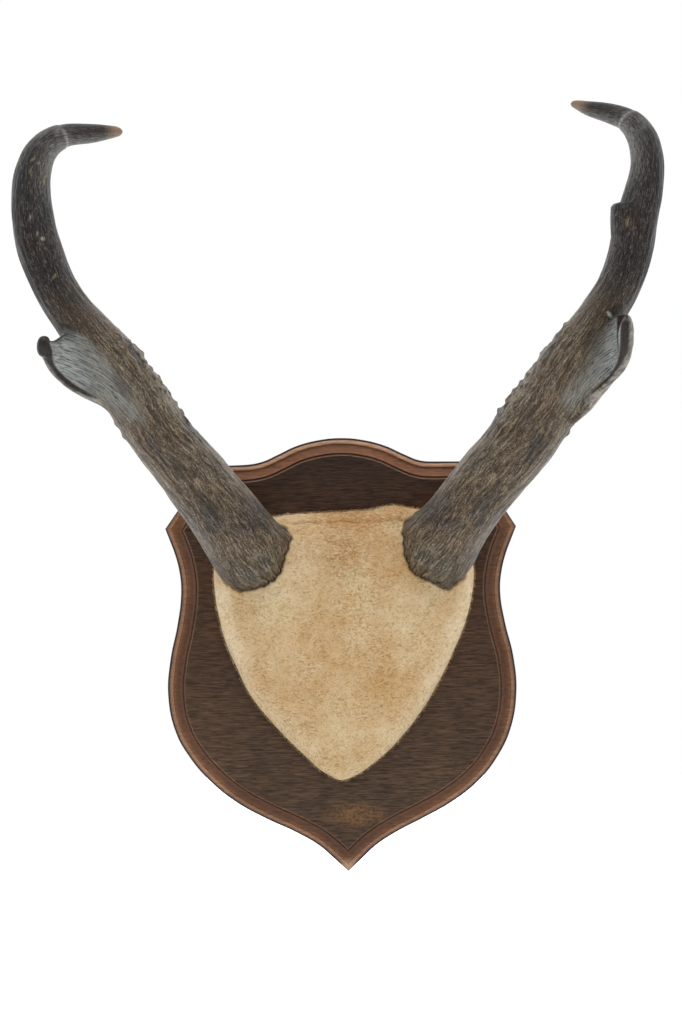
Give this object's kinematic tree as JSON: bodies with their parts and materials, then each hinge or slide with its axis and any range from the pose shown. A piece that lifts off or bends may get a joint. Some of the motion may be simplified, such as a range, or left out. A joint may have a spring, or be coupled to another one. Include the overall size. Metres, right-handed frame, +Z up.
{
  "type": "mounted antelope horns",
  "caption": "Curved pronghorn antelope horns with short prongs, rising from a hide-covered skull cap on a moulded wooden wall shield.",
  "frame": {"origin": "the middle of the shield's flat back, on the wall plane", "axes": "+Z up, +X to the right as seen from the front, the front faces -Y and the back faces +Y"},
  "size_m": [0.392, 0.1873, 0.4798],
  "materials": {
    "stained_wood": "stained and waxed, satin",
    "carved_wood": "bare, sanded",
    "buckskin": "soft suede nap",
    "horn": "fibrous natural horn, dull satin",
    "screw_steel": "zinc plated",
    "hanger_brass": "brass plated, satin"
  },
  "bodies": {
    "root": {"shield_plaque": "stained_wood", "skull_cap": "carved_wood", "hide_cover": "buckskin", "horn_left": "horn", "horn_right": "horn", "cap_screw_left": "screw_steel", "cap_screw_right": "screw_steel", "cap_screw_low": "screw_steel", "hanger_strip": "hanger_brass", "hanger_brad_left": "hanger_brass", "hanger_brad_right": "hanger_brass"}
  },
  "joints": []
}
